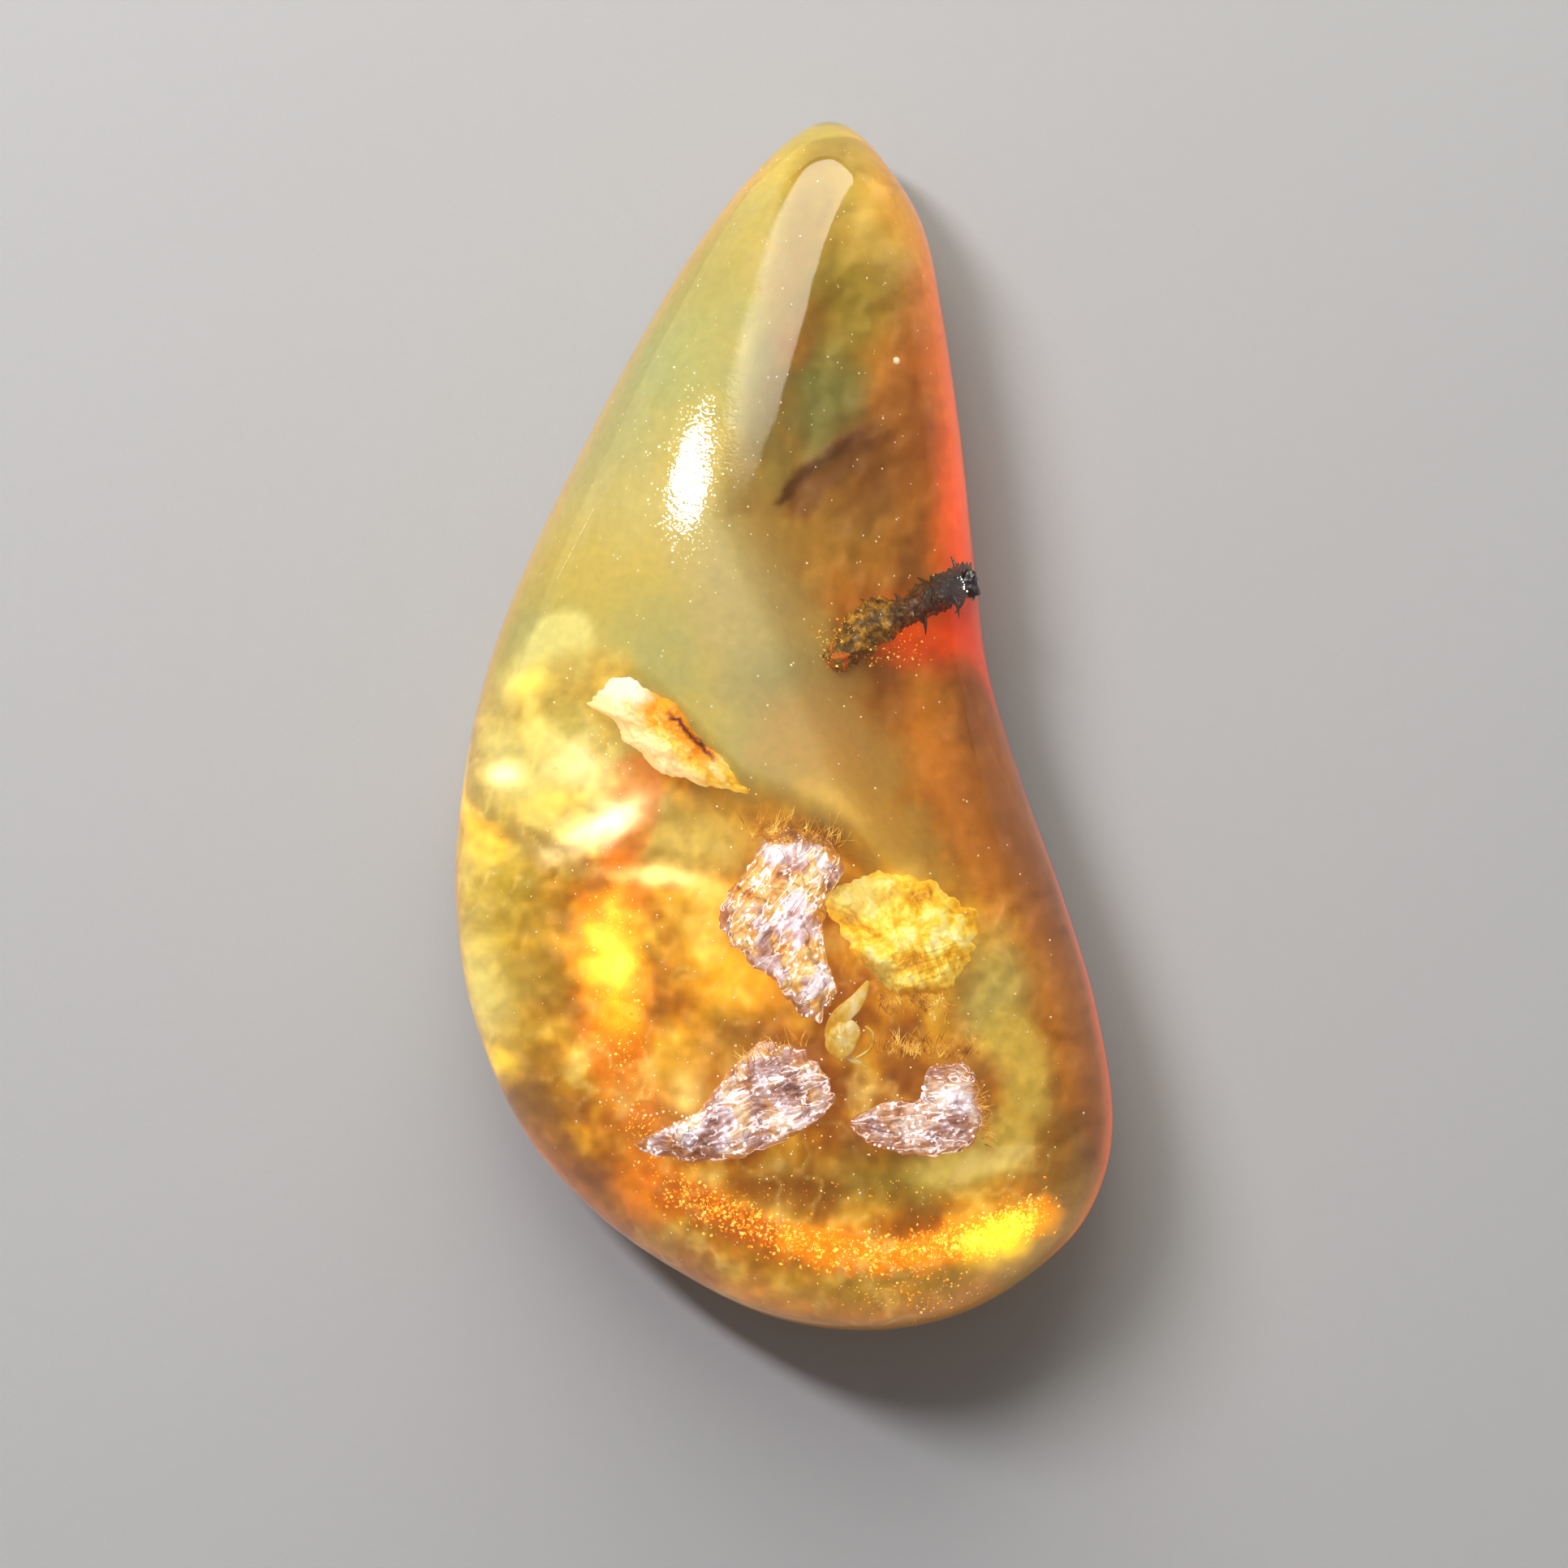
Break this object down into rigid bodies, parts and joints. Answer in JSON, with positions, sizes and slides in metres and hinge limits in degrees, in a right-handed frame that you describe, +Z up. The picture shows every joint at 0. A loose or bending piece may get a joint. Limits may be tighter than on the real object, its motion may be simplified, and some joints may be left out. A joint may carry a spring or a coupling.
{
  "type": "polished amber drop with inclusions",
  "caption": "Polished drop of see-through amber with a domed top and a flat back, holding a dark spiny twig, plant chips, bark flakes and a curled scale.",
  "frame": {"origin": "on the resting plane, under the middle of the drop's length and width", "axes": "+Y along the length towards the pointed end, +Z up from the flat back to the domed top, +X to the right seen from above with the point up"},
  "size_m": [0.0244, 0.045, 0.0115],
  "materials": {
    "amber": "polished",
    "dark_twig": "satin",
    "pale_chip": "matte",
    "yellow_chip": "matte",
    "bark": "satin",
    "curled_scale": "satin"
  },
  "bodies": {
    "root": {"amber_base": "amber", "amber_top": "amber", "dark_twig": "dark_twig", "pale_chip": "pale_chip", "yellow_chip": "yellow_chip", "bark_knot": "bark", "left_bark_flake": "bark", "right_bark_flake": "bark", "curled_scale": "curled_scale"}
  },
  "joints": []
}
